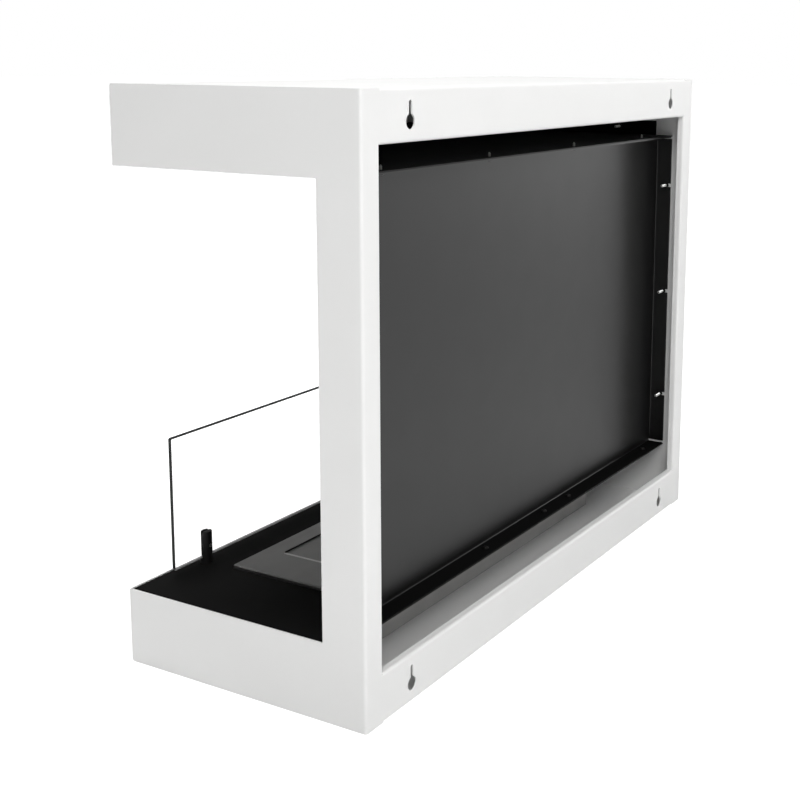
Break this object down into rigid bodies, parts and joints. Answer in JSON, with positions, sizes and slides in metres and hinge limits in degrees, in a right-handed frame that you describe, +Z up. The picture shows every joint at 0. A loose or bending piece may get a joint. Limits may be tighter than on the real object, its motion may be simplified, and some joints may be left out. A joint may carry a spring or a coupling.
{
  "type": "wall-mounted bioethanol fireplace",
  "caption": "White C-shaped sheet-steel fireplace, open at the front and the ends, with black liners, ethanol burner, glass pane in slotted posts and a keyholed rear frame.",
  "frame": {"origin": "middle of the four keyholes' round holes, on the face that lies against the wall", "axes": "+X along the wall, to the right as seen from the room; +Y into the wall; +Z up"},
  "size_m": [0.78, 0.3, 0.6],
  "materials": {
    "casing_white": "satin white powder coat",
    "liner_black": "matt black high-temperature lacquer",
    "tray_black": "black powder coat, fine texture",
    "post_black": "satin black powder coat",
    "burner_steel": "satin",
    "zinc_steel": "zinc plated",
    "nut_black": "black oxide",
    "screw_black": "black oxide",
    "pane_glass": "clear, ground edges",
    "pad_rubber": "matte",
    "ceramic_wool": "matte fibre"
  },
  "bodies": {
    "casing": {"hood_casing": "casing_white", "base_casing": "casing_white", "side_panel_left": "casing_white", "side_panel_right": "casing_white", "ceiling_plate": "liner_black", "deck_plate": "liner_black", "back_panel": "tray_black", "back_panel_studs": "zinc_steel", "back_panel_nuts": "nut_black", "back_panel_top_screws": "zinc_steel", "back_panel_bottom_screws": "screw_black", "ceiling_plate_studs": "zinc_steel", "ceiling_plate_nuts": "nut_black", "deck_plate_studs": "zinc_steel", "deck_plate_nuts": "nut_black", "glass_post_left": "post_black", "glass_post_right": "post_black", "glass_pad_left": "pad_rubber", "glass_pad_right": "pad_rubber", "post_screws": "screw_black"},
    "glass": {"glass_pane": "pane_glass"},
    "burner": {"burner_top_plate": "burner_steel", "burner_tank": "burner_steel", "burner_guide_left": "burner_steel", "burner_guide_right": "burner_steel", "burner_wool": "ceramic_wool"},
    "slider": {"burner_slider": "burner_steel"},
    "set_screw_left": {"set_screw_left": "screw_black"},
    "set_screw_right": {"set_screw_right": "screw_black"}
  },
  "joints": [
    {"name": "glass_lift", "type": "slide", "parent": "casing", "child": "glass", "axis": [0, 0, 1], "range_m": [0, 0.035]},
    {"name": "burner_lift", "type": "slide", "parent": "casing", "child": "burner", "axis": [0, 0, 1], "range_m": [0, 0.075]},
    {"name": "slider_slide", "type": "slide", "parent": "burner", "child": "slider", "axis": [0, 1, 0], "range_m": [0, 0.027]},
    {"name": "set_screw_left_back_off", "type": "slide", "parent": "casing", "child": "set_screw_left", "axis": [0, 1, 0], "range_m": [0, 0.002]},
    {"name": "set_screw_right_back_off", "type": "slide", "parent": "casing", "child": "set_screw_right", "axis": [0, 1, 0], "range_m": [0, 0.002]}
  ]
}
